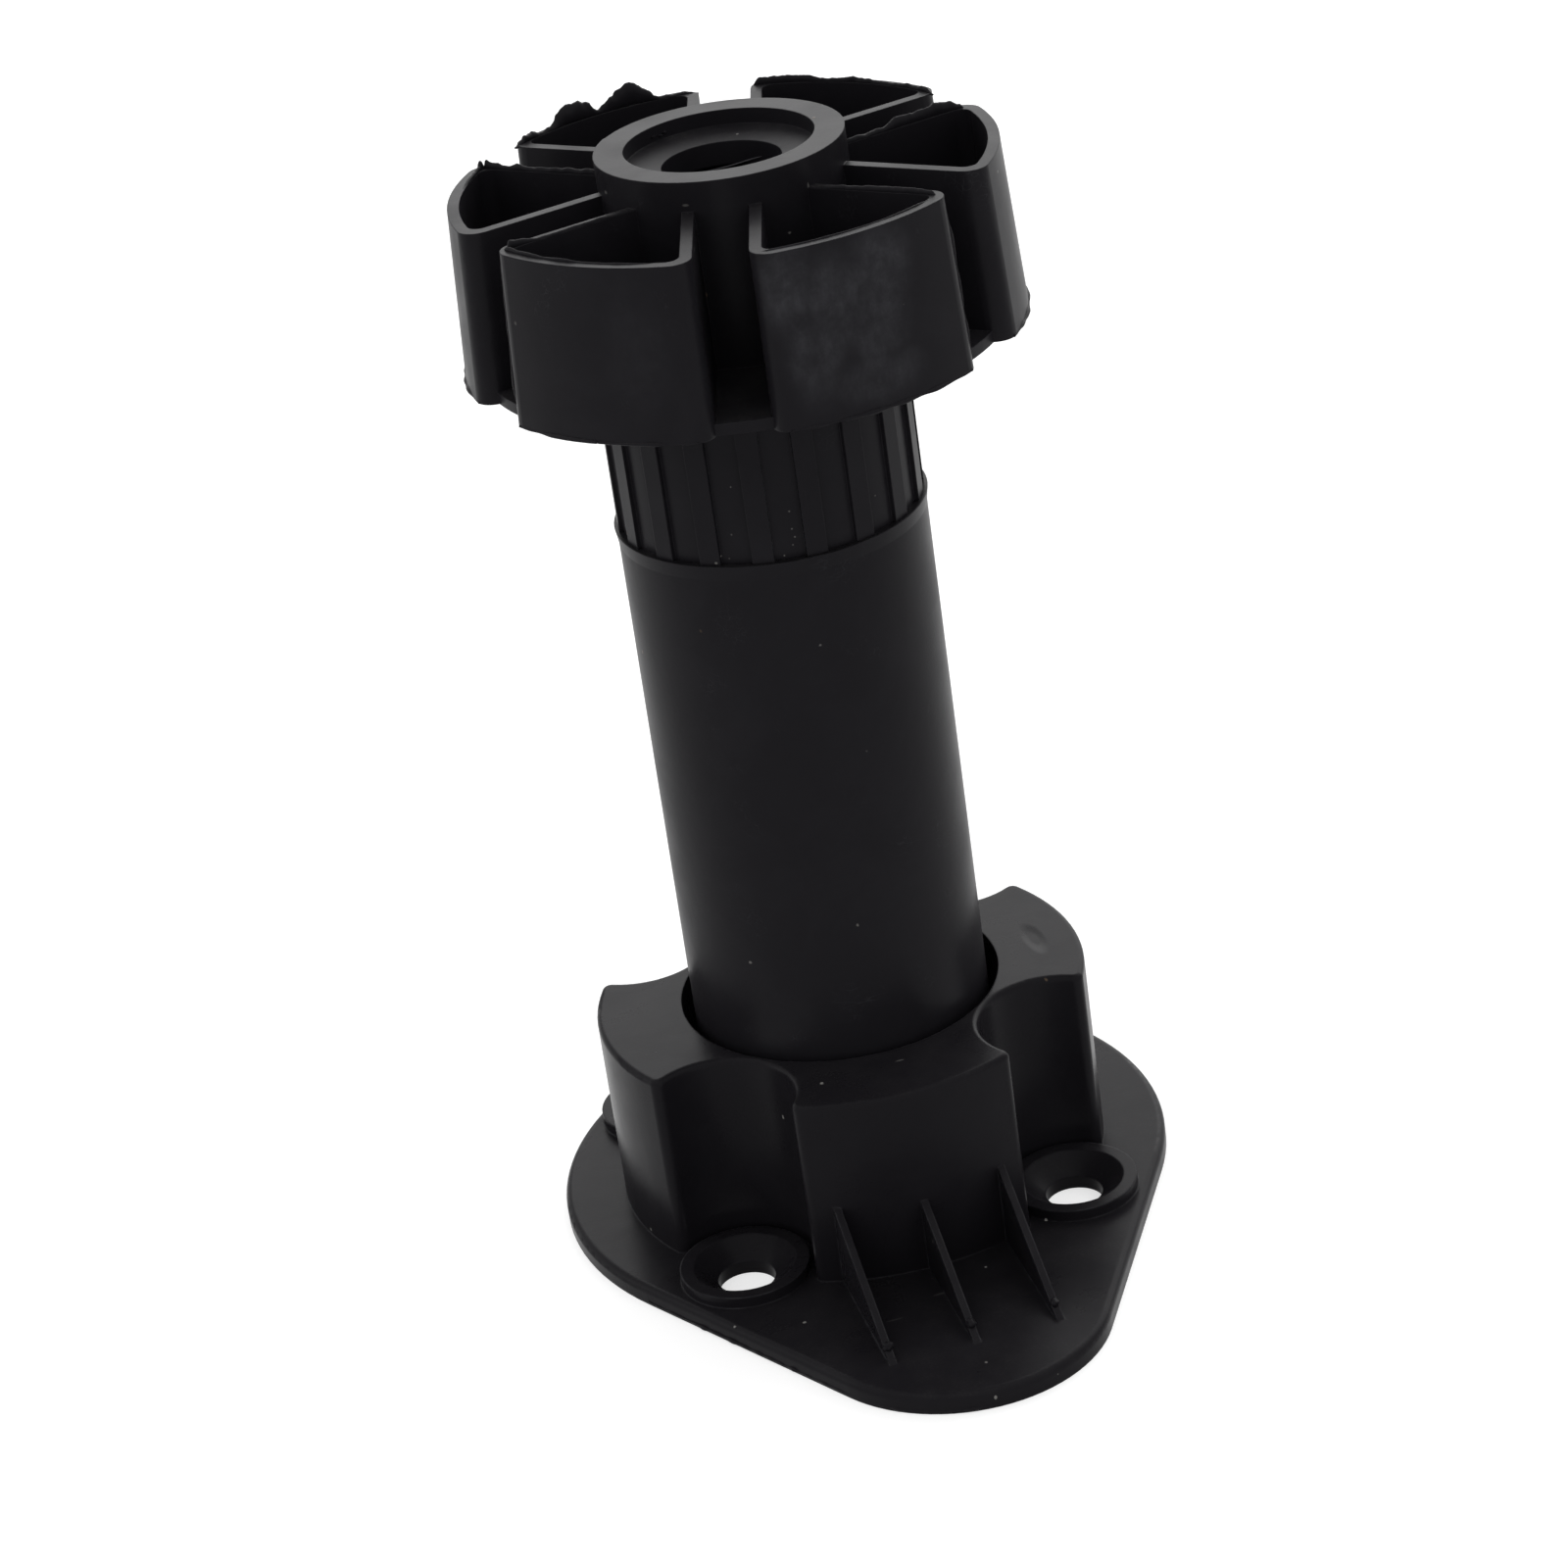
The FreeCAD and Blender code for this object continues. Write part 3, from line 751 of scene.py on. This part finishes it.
@dataclass
class TornRims:
    """The torn lips on the rims of the foot's petals.

    Args:
        rim_height: The height of the petals' rims.
        hollow_radius: The radius of a hollow's outer wall.
        side_offset: How far a hollow's side is from the middle of the slot beside it.
        half_step: Half of the angle between two slots, in degrees.
        sink: How deep a burr is rooted in the rim.
        step: The length of one step along a burr.
        corners: How many corners a burr's section has.
        flare: How much of its height is added to a burr's thickness, as a share.
        tear_length: The length over which a burr's edge wanders.
        lump_size: The size of the lumps on its faces.
        torn_height: The height from which a burr is fully torn.
        burrs: The burrs.
    """

    rim_height: float = 116.0 * MM
    hollow_radius: float = 26.4 * MM
    side_offset: float = 3.9 * MM
    half_step: float = 30.0
    sink: float = 0.25 * MM
    step: float = 0.16 * MM
    corners: int = 12
    flare: float = 0.3
    tear_length: float = 0.7 * MM
    lump_size: float = 0.9 * MM
    torn_height: float = 0.4 * MM
    burrs: tuple[Burr, ...] = (
        Burr(105, Wall.OUTER, (
            (-24, -0.1), (-21.5, 0.25), (-15, 0.2), (-14, 0.6), (-11, 1.7), (-8.3, 2.5), (-6.6, 2.1),
            (-5.4, 1.9), (-5, 1.35), (-1.8, 0.95), (-0.3, 0.6), (0.7, 0.75), (1.3, 1.45), (3, 1.6), (4, 2.0),
            (8.8, 1.85), (10.3, 1.3), (10.7, 0.75), (13, 0.3), (15.7, 0.25), (17.5, 0.65), (20.5, 0.65),
            (21.5, 0.3), (24, -0.1)), 0.22, 0.5),
        Burr(45, Wall.OUTER, (
            (-24, -0.1), (-22, 0.45), (-9, 0.3), (-2, 0.5), (-0.5, 0.66), (1, 0.5), (7.5, 0.4), (10, 0.6),
            (16, 0.8), (22, 0.72), (24, -0.1)), 0.10),
        Burr(165, Wall.LOW_SIDE, (
            (12, 0.1), (13, 0.55), (17, 0.48), (20.4, 0.42), (22.2, 0.62), (23.4, 0.38), (24.6, 0.62),
            (25.3, 0.75), (25.8, 0.95), (26.2, -0.1)), 0.10),
        Burr(165, Wall.OUTER, ((-23, -0.1), (-21.6, 0.9), (-20.4, 0.45), (-14, 0.25), (-6, -0.05)), 0.10),
        Burr(-15, Wall.HIGH_SIDE, (
            (12, 0.1), (12.6, 0.44), (16.3, 0.42), (17.5, 0.74), (18.2, 1.05), (21.6, 1.02), (22.9, 1.28),
            (24.5, 1.0), (25.6, 0.5), (26.2, -0.1)), 0.10, 0.4),
        Burr(-135, Wall.LOW_SIDE, (
            (12, 0.05), (13, 0.2), (17, 0.26), (22.6, 0.2), (24.6, 0.6), (25.7, 0.8), (26.2, -0.1)), 0.08),
        Burr(-135, Wall.OUTER, (
            (-23, -0.1), (-21, 0.4), (-15, 0.32), (-9, 0.22), (-5, 0.3), (0, 0.12), (8, 0.15),
            (23, -0.1)), 0.06, 0.2),
        Burr(-75, Wall.HIGH_SIDE, (
            (12, 0.1), (16, 0.38), (20.3, 0.55), (23.5, 0.55), (25.6, 0.45), (26.2, -0.1)), 0.06),
        Burr(-75, Wall.OUTER, (
            (-23, -0.1), (-20, 0.1), (-8, 0.14), (3, 0.08), (14, 0.14), (23, -0.1)), 0.05, 0.2),
    )

    def root(self, burr: Burr, station: float) -> tuple[Vector, Vector]:
        """Finds the inner edge of the rim under a burr.

        Args:
            burr: The burr.
            station: Where along it.

        Returns:
            The point on the inner edge, and the way from there into the wall.
        """
        if burr.wall is Wall.OUTER:
            angle = math.radians(burr.petal + station)
            outwards = Vector((math.cos(angle), math.sin(angle), 0.0))
            return outwards * self.hollow_radius, outwards
        side = burr.wall.value
        slot = math.radians(burr.petal + side * self.half_step)
        along = Vector((math.cos(slot), math.sin(slot), 0.0))
        into_wall = Vector((-math.sin(slot), math.cos(slot), 0.0)) * side
        return along * station * MM - into_wall * self.side_offset, into_wall

    def build(self, number: int, burr: Burr, material: Material) -> Object:
        """Builds one burr.

        Args:
            number: Its number, for its name and its own raggedness.
            burr: The burr.
            material: Its material.

        Returns:
            The piece.
        """
        first, last = burr.knots[0][0], burr.knots[-1][0]
        length = (last - first) * (math.radians(self.hollow_radius) if burr.wall is Wall.OUTER else MM)

        def place(share: float, angle: float) -> Vector:
            """Gives a point of the burr's skin.

            Args:
                share: The share of the burr's length.
                angle: The angle round it.

            Returns:
                The point.
            """
            station = first + (last - first) * share
            point, into_wall = self.root(burr, station)
            up, across = 0.5 + 0.5 * math.sin(angle), 0.5 + 0.5 * math.cos(angle)
            rise = between(burr.knots, station) * MM
            thick = burr.thickness * MM + self.flare * max(rise, 0.0)
            track = Vector((length * share / self.tear_length, TEAR_GAP * number, 0.0))
            wander = noise.noise(track) + FINE_SHARE * noise.noise(track * FINE_SCALE)
            tear = burr.ragged * MM * min(1.0, max(rise, 0.0) / self.torn_height)
            height = self.rim_height - self.sink + (rise + self.sink + tear * wander) * up
            lump = noise.noise_vector(Vector((length * share, across * thick, height)) / self.lump_size)
            return point + into_wall * across * thick + Vector((0.0, 0.0, height)) + lump * tear * up

        shape = loft(max(self.corners, round(length / self.step)), self.corners, place)
        return settle(shape, f"petal_burr_{number:02d}", Body.FOOT, Slot.FOOT, material)


# A strand's corners, the length of one step along it and the least rings between two of its points.
STRAND_CORNERS = 8
STRAND_STEP = 0.25 * MM
RINGS_PER_SPAN = 20
# Shares of its length: where its direction is read and where its end starts. Then its thickness there.
LOOK_AHEAD = 0.01
END_MARGIN = 0.02
END_THICKNESS = 0.35


@dataclass(frozen=True)
class Strand:
    """A hair-thin thread of plastic left by the mould.

    Args:
        name: The piece's name.
        points: The points that it passes through, in millimetres.
        radius: Its radius, in millimetres.
        ragged: How much its thickness varies, as a share of its radius.
        wave: The length over which its thickness varies, in millimetres.
        body: The body that it hangs on.
        slot: The record's slot that its finish belongs to.
    """

    name: str
    points: tuple[tuple[float, float, float], ...]
    radius: float
    ragged: float = 0.35
    wave: float = 0.8
    body: Body = Body.FOOT
    slot: Slot = Slot.FOOT

    def build(self, material: Material) -> Object:
        """Builds the strand.

        Args:
            material: Its material.

        Returns:
            The piece.
        """
        knots = [Vector(point) * MM for point in self.points]
        knots = [2 * knots[0] - knots[1], *knots, 2 * knots[-1] - knots[-2]]
        spans = len(knots) - 3

        def middle(share: float) -> Vector:
            """Gives a point of the strand's middle line.

            Args:
                share: The share of the strand's length.

            Returns:
                The point.
            """
            index = min(int(share * spans), spans - 1)
            before, start, end, after = knots[index:index + 4]
            t = share * spans - index
            return 0.5 * (2 * start + (end - before) * t + (2 * before - 5 * start + 4 * end - after) * t ** 2
                          + (3 * start - before - 3 * end + after) * t ** 3)

        def place(share: float, angle: float) -> Vector:
            """Gives a point of the strand's skin.

            Args:
                share: The share of the strand's length.
                angle: The angle round it.

            Returns:
                The point.
            """
            centre = middle(share)
            ahead = middle(min(share + LOOK_AHEAD, 1.0)) - middle(max(share - LOOK_AHEAD, 0.0))
            ahead.normalize()
            aside = ahead.orthogonal().normalized()
            third = ahead.cross(aside)
            fullness = math.sin(math.pi * min(max(share, END_MARGIN), 1.0 - END_MARGIN)) ** 0.5
            taper = END_THICKNESS + (1.0 - END_THICKNESS) * fullness
            radius = self.radius * MM * taper * (1.0 + self.ragged * noise.noise(centre / (self.wave * MM)))
            return centre + (aside * math.cos(angle) + third * math.sin(angle)) * radius

        length = sum((end - start).length for start, end in zip(knots, knots[1:]))
        rings = max(RINGS_PER_SPAN * spans, round(length / STRAND_STEP))
        return settle(loft(rings, STRAND_CORNERS, place), self.name, self.body, self.slot, material)


# Strength and fineness of the swellings that make a crumb uneven.
CRUMB_SWELLINGS = ((0.45, 1.3), (0.2, 3.1))


@dataclass(frozen=True)
class Crumb:
    """A small lump of plastic or dirt.

    Args:
        name: The piece's name.
        centre: Where it lies, in millimetres.
        size: Its half lengths, in millimetres.
        body: The body that it lies on.
        slot: The record's slot that its finish belongs to.
    """

    name: str
    centre: tuple[float, float, float]
    size: tuple[float, float, float]
    body: Body = Body.FOOT
    slot: Slot = Slot.FOOT

    def build(self, material: Material) -> Object:
        """Builds the crumb.

        Args:
            material: Its material.

        Returns:
            The piece.
        """
        shape = bmesh.new()
        bmesh.ops.create_icosphere(shape, subdivisions=3, radius=1.0)
        centre = Vector(self.centre)
        for vert in shape.verts:
            swell = sum((strength * noise.noise(vert.co * fineness + centre)
                         for strength, fineness in CRUMB_SWELLINGS), start=1.0)
            vert.co = (centre + Vector(a * b * swell for a, b in zip(vert.co, self.size))) * MM
        return settle(shape, self.name, self.body, self.slot, material)


HAIRS = (
    Strand("hole_strand", ((-1.9, 5.6, 114.2), (-0.3, 5.95, 114.05), (1.1, 5.85, 114.1), (2.6, 5.4, 114.35),
                           (3.9, 4.5, 114.8), (4.9, 3.5, 115.2)), radius=0.075),
    Strand("hub_strand", ((-11.75, 4.6, 118.7), (-11.2, 5.9, 118.82), (-10.2, 7.5, 118.86),
                          (-8.9, 9.0, 118.82), (-7.2, 10.3, 118.82), (-5.9, 11.0, 118.7)), radius=0.09),
)

# How much the thickness of flash varies, and over what length in millimetres.
FLASH_RAGGED = 1.2
PETAL_WAVE = 2.4
PLATE_WAVE = 1.3

PETAL_FLASH = (
    Strand("petal_flash_1", ((16.36, -21.53, 115.3), (16.72, -21.9, 107.4), (17.02, -22.2, 99.8)),
           0.24, FLASH_RAGGED, PETAL_WAVE),
    Strand("petal_flash_2", ((-24.98, -10.65, 115.3), (-25.45, -10.75, 107.4), (-25.89, -10.87, 99.8)),
           0.2, FLASH_RAGGED, PETAL_WAVE),
)

PLATE_FLASH = (
    Strand("plate_flash_1",
           ((-28.95, -16.45, 0.32), (-24.1, -25.1, 0.32), (-19.0, -34.1, 0.32), (-14.1, -42.75, 0.32)),
           0.17, FLASH_RAGGED, PLATE_WAVE, Body.FLANGE, Slot.FLANGE),
    Strand("plate_flash_2",
           ((-14.1, -42.75, 0.3), (-10.3, -47.2, 0.3), (-4.2, -50.38, 0.3), (2.5, -50.72, 0.3)),
           0.15, FLASH_RAGGED, PLATE_WAVE, Body.FLANGE, Slot.FLANGE),
)

# The flash under each petal: angles in degrees, lengths in millimetres.
PETAL_ANGLES = (45, 105, 165, -135, -75, -15)
SKIRT_STATIONS = (-21, -11, 0, 11, 21)
SKIRT_RADIUS = 28.55
SKIRT_HEIGHT = 98.5
SKIRT_THICKNESS = 0.23


def skirt(angle: int) -> Strand:
    """Lays the ragged flash under a petal's outer wall.

    Args:
        angle: The angle of the petal's middle, in degrees.

    Returns:
        The flash.
    """
    turns = [math.radians(angle + station) for station in SKIRT_STATIONS]
    points = tuple((SKIRT_RADIUS * math.cos(turn), SKIRT_RADIUS * math.sin(turn), SKIRT_HEIGHT)
                   for turn in turns)
    return Strand(f"petal_skirt_{angle % 360:03d}", points, SKIRT_THICKNESS, FLASH_RAGGED, PETAL_WAVE)


CRUMBS = (
    Crumb("recess_crumb_1", (-4.85, 8.05, 118.05), (0.22, 0.12, 0.10)),
    Crumb("recess_crumb_2", (-4.05, 8.5, 117.9), (0.26, 0.12, 0.10)),
    Crumb("recess_crumb_3", (-3.55, 8.75, 118.05), (0.18, 0.12, 0.16)),
)

GUSSET_LUMPS = (
    Crumb("gusset_lump_1", (-9.0, -40.3, 3.2), (0.52, 0.5, 0.5), Body.FLANGE, Slot.FLANGE),
    Crumb("gusset_lump_2", (0.05, -40.2, 3.25), (0.48, 0.55, 0.45), Body.FLANGE, Slot.FLANGE),
    Crumb("gusset_lump_3", (9.0, -40.35, 3.15), (0.46, 0.5, 0.42), Body.FLANGE, Slot.FLANGE),
)


@dataclass(frozen=True)
class Lamp:
    """A soft rectangular lamp.

    Args:
        name: The lamp's name.
        place: Where it is, in metres.
        aim: The point it faces, in metres.
        width: Its width, in metres.
        height: Its height, in metres.
        power: Its power, in watts.
    """

    name: str
    place: tuple[float, float, float]
    aim: tuple[float, float, float]
    width: float
    height: float
    power: float

    def build(self) -> Object:
        """Builds the lamp.

        Returns:
            The lamp's object.
        """
        light = bpy.data.lights.new(self.name, "AREA")
        light.shape = "RECTANGLE"
        light.size, light.size_y = self.width, self.height
        light.energy = self.power
        lamp = bpy.data.objects.new(self.name, light)
        bpy.context.scene.collection.objects.link(lamp)
        lamp.location = self.place
        lamp.rotation_mode = "QUATERNION"
        lamp.rotation_quaternion = (Vector(self.aim) - Vector(self.place)).to_track_quat("-Z", "Y")
        return lamp


@dataclass
class Studio:
    """The camera, lamps, world and pale floor.

    Args:
        aim: The point in the middle of the picture, in metres.
        azimuth: The camera's turn round the leg from -Y, in degrees.
        elevation: Its height above the horizon, in degrees.
        roll: Its turn about its own view, in degrees.
        distance: Its distance from the aim, in metres.
        lens: The focal length, in millimetres.
        sensor: The width of the camera's sensor, in millimetres.
        sight: The nearest and farthest that the camera sees, in metres.
        floor_reach: Half of the floor's width, in metres.
        floor_gap: How far the floor lies under the flange, in metres.
        floor_tone: The floor's own colour, linear.
        floor_roughness: How dull the floor is.
        floor_glow: How much whiter the floor looks to the camera and in reflections.
        world_strength: The light of the surroundings on the object.
        lamps: The soft lamps.
    """

    aim: tuple[float, float, float] = (-2.79 * MM, 0.57 * MM, 47.85 * MM)
    azimuth: float = -11.53
    elevation: float = 26.094
    roll: float = -8.368
    distance: float = 458.97 * MM
    lens: float = 99.475
    sensor: float = 36.0
    sight: tuple[float, float] = (0.01, 20.0)
    floor_reach: float = 2.5
    floor_gap: float = 0.03 * MM
    floor_tone: tuple[float, float, float] = (0.55, 0.55, 0.55)
    floor_roughness: float = 0.9
    floor_glow: float = 0.62
    world_strength: float = 0.8
    lamps: tuple[Lamp, ...] = (
        Lamp("BackLamp", (0.9, 1.45, 1.1), (0, 0, 0.06), width=2.6, height=1.6, power=25.0),
        Lamp("LeftLamp", (-1.4, 0.5, 0.6), (0, 0, 0.06), width=0.6, height=1.0, power=2.0),
    )

    def build(self) -> None:
        """Builds the whole studio."""
        self.build_camera()
        self.build_world()
        self.build_floor()
        for lamp in self.lamps:
            lamp.build()
        bpy.context.scene.view_settings.view_transform = "Standard"
        log.info("studio with %d lamps", len(self.lamps))

    def build_camera(self) -> None:
        """Puts the camera where the photograph was taken from."""
        turn, rise = math.radians(self.azimuth), math.radians(self.elevation)
        back = Vector((math.sin(turn) * math.cos(rise), -math.cos(turn) * math.cos(rise), math.sin(rise)))
        camera = bpy.data.objects.new("Camera", bpy.data.cameras.new("Camera"))
        bpy.context.scene.collection.objects.link(camera)
        camera.data.lens = self.lens
        camera.data.sensor_width = self.sensor
        camera.data.clip_start, camera.data.clip_end = self.sight
        level = (-back).to_track_quat("-Z", "Y").to_matrix().to_4x4()
        spin = Matrix.Rotation(math.radians(self.roll), 4, "Z")
        camera.matrix_world = Matrix.Translation(Vector(self.aim) + back * self.distance) @ level @ spin
        bpy.context.scene.camera = camera

    def build_world(self) -> None:
        """Makes white surroundings for the camera and softer ones for the light."""
        world = bpy.data.worlds.new("Surroundings")
        world.use_nodes = True
        bpy.context.scene.world = world
        wiring = Wiring(world.node_tree)
        sky = world.node_tree.nodes["Background"]
        path = wiring.node("ShaderNodeLightPath")
        seen = wiring.math("MAXIMUM", path.outputs["Is Camera Ray"], path.outputs["Is Transmission Ray"])
        seen = wiring.math("MAXIMUM", seen, path.outputs["Is Glossy Ray"])
        lift = wiring.math("MULTIPLY", seen, 1.0 - self.world_strength)
        wiring.feed(sky.inputs["Strength"], wiring.math("ADD", lift, self.world_strength))
        sky.inputs["Color"].default_value = WHITE

    def build_floor(self) -> None:
        """Lays the pale floor under the flange."""
        mesh = bpy.data.meshes.new("Floor")
        shape = bmesh.new()
        bmesh.ops.create_grid(shape, x_segments=1, y_segments=1, size=self.floor_reach)
        bmesh.ops.translate(shape, verts=shape.verts, vec=(0.0, 0.0, -self.floor_gap))
        shape.to_mesh(mesh)
        shape.free()
        floor = bpy.data.objects.new("Floor", mesh)
        bpy.context.scene.collection.objects.link(floor)
        material = bpy.data.materials.new("PaleFloor")
        material.use_nodes = True
        wiring = Wiring(material.node_tree)
        shader = material.node_tree.nodes["Principled BSDF"]
        shader.inputs["Base Color"].default_value = (*self.floor_tone, 1.0)
        shader.inputs["Roughness"].default_value = self.floor_roughness
        shader.inputs["Emission Color"].default_value = WHITE
        path = wiring.node("ShaderNodeLightPath")
        seen = wiring.math("MAXIMUM", path.outputs["Is Camera Ray"], path.outputs["Is Glossy Ray"])
        wiring.feed(shader.inputs["Emission Strength"], wiring.math("MULTIPLY", seen, self.floor_glow))
        mesh.materials.append(material)


# The flange's edges are lightened strongly, a painted highlight along them.
FLANGE = Moulding("flange_socket", Slot.FLANGE, PlasticFinish(
    "FlangePlastic", (0.0102, 0.0094, 0.0113), roughness=0.27, edge_radius=0.3 * MM, mottle=0.02, dust=0.03,
    scratches=0.0, edge_wear_and_highlight=0.34, marks=(
        Mark(MarkKind.SINK, (21.8, -1.6, 23.5), (1.3, 4.0, 1.2), 20.0),
        Mark(MarkKind.FLECK, (13.6, -23.4, 2.1), (0.22, 0.22, 0.3), 1.0),
        Mark(MarkKind.FLECK, (5.0, -29.1, 2.1), (0.16, 0.16, 0.3), 0.8),
        Mark(MarkKind.FLECK, (2.1, -16.1, 23.5), (0.5, 0.13, 0.3), 0.3),
        Mark(MarkKind.FLECK, (-2.7, -16.0, 23.5), (0.5, 0.16, 0.3), 0.25),
        Mark(MarkKind.FLECK, (1.0, -19.8, 23.5), (0.6, 0.12, 0.3), 0.2),
        Mark(MarkKind.FLECK, (-1.0, -50.9, 1.2), (0.2, 0.2, 0.3), 0.5),
        Mark(MarkKind.FLECK, (6.0, -50.0, 1.2), (0.16, 0.2, 0.2), 0.5),
        Mark(MarkKind.SCUFF, (23.0, -24.0, 2.1), (4.0, 6.0, 1.5), 0.08),
        Mark(MarkKind.FLECK, (-6.6, -34.3, 2.1), (1.1, 0.14, 0.3), 0.06),
        Mark(MarkKind.FLECK, (-0.6, -31.8, 2.1), (1.3, 0.2, 0.3), 0.08),
        Mark(MarkKind.FLECK, (-0.3, -45.9, 2.1), (0.18, 0.22, 0.3), 0.3),
    )))

TUBE = Moulding("leg_tube", Slot.TUBE, PlasticFinish("TubePlastic", roughness=0.33, specks=0.3))

# Places and half widths of the crumbs of dirt on the plug's collar, in millimetres.
COLLAR_DIRT = (
    ((-7.3, -14.0, 83.2), 0.2), ((-8.5, -13.2, 80.9), 0.14), ((-7.8, -13.7, 80.6), 0.16),
    ((-9.1, -12.9, 80.3), 0.16), ((-6.7, -14.2, 88.3), 0.12), ((-1.5, -15.7, 83.1), 0.15),
    ((-1.5, -15.7, 85.0), 0.17), ((-1.6, -15.7, 81.4), 0.13), ((-2.6, -15.5, 80.4), 0.14),
    ((-1.3, -15.7, 82.2), 0.15), ((-14.0, -7.2, 80.9), 0.15), ((7.9, -13.6, 83.7), 0.13),
)
DIRT_DEPTH = 0.6
DIRT_STRENGTH = 0.32

PLUG = Moulding("threaded_plug", Slot.PLUG, PlasticFinish("PlugPlastic", dust=0.3, marks=tuple(
    Mark(MarkKind.FLECK, centre, (reach, DIRT_DEPTH, reach), DIRT_STRENGTH)
    for centre, reach in COLLAR_DIRT)))

FOOT = Moulding("adjusting_foot", Slot.FOOT, PlasticFinish("FootPlastic", marks=(
    Mark(MarkKind.SCUFF, (-1.3, -28.0, 112.5), (4.0, 3.0, 6.5), 0.40),
    Mark(MarkKind.SCUFF, (2.9, -27.9, 110.0), (5.0, 3.0, 7.0), 0.36),
    Mark(MarkKind.SCUFF, (8.4, -26.7, 112.5), (5.5, 3.0, 5.5), 0.40),
    Mark(MarkKind.SCUFF, (7.0, -27.3, 107.5), (5.5, 3.0, 6.5), 0.33),
    Mark(MarkKind.SCUFF, (0.5, -28.0, 105.6), (4.0, 3.0, 7.5), 0.33),
    Mark(MarkKind.SCUFF, (6.5, -27.4, 101.8), (8.0, 3.0, 3.5), 0.28),
    Mark(MarkKind.SCUFF, (-16.0, -23.5, 108.0), (5.0, 4.0, 9.0), 0.08),
    # A painted highlight: a lighter streaky patch down the right edge of the petal at -15 degrees, laid as a
    # scuff.
    Mark(MarkKind.SCUFF, (26.0, -9.0, 110.0), (3.0, 5.0, 8.0), 0.16),
    Mark(MarkKind.FLECK, (5.8, -11.1, 116.1), (0.14, 0.2, 0.55), 0.22),
    Mark(MarkKind.FLECK, (-12.4, -2.2, 116.8), (0.2, 0.4, 0.2), 0.2),
    Mark(MarkKind.FLECK, (-6.4, -10.8, 116.7), (0.5, 0.3, 0.16), 0.16),
    Mark(MarkKind.FLECK, (-27.7, -5.5, 110.6), (0.3, 0.3, 0.35), 0.2),
    Mark(MarkKind.FLECK, (-25.1, -12.7, 109.3), (0.3, 0.3, 0.35), 0.12),
    Mark(MarkKind.FLECK, (-11.5, -25.8, 107.6), (0.2, 0.2, 0.25), 0.15),
    Mark(MarkKind.FLECK, (22.6, -16.4, 115.0), (0.35, 0.35, 0.2), 0.22),
)))

# The hair strands are painted pale grey: a painted highlight on strands of the same black plastic.
STRAND_PAINTED_HIGHLIGHT = PlasticFinish("StrandPaintedHighlight", (0.085, 0.084, 0.09), specks=0.0, scratches=0.0, edge_wear_and_highlight=0.0)


def main() -> None:
    """Dresses the leg and builds the studio."""
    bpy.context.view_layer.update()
    noise.seed_set(TEAR_SEED)
    effects = Effects()
    for moulding in (TUBE, PLUG):
        moulding.dress(effects)
    flange_plastic = FLANGE.dress(effects)
    foot_plastic = FOOT.dress(effects)
    rims = TornRims()
    for number, burr in enumerate(rims.burrs, start=1):
        rims.build(number, burr, foot_plastic)
    for part in (*PETAL_FLASH, *map(skirt, PETAL_ANGLES), *CRUMBS):
        part.build(foot_plastic)
    strand_highlight_paint = STRAND_PAINTED_HIGHLIGHT.build(effects)
    for hair in HAIRS:
        hair.build(strand_highlight_paint)
    for part in (*PLATE_FLASH, *GUSSET_LUMPS):
        part.build(flange_plastic)
    Studio().build()


if __name__ == "__main__":
    logging.basicConfig(level=logging.INFO, format="%(name)s: %(message)s")
    main()
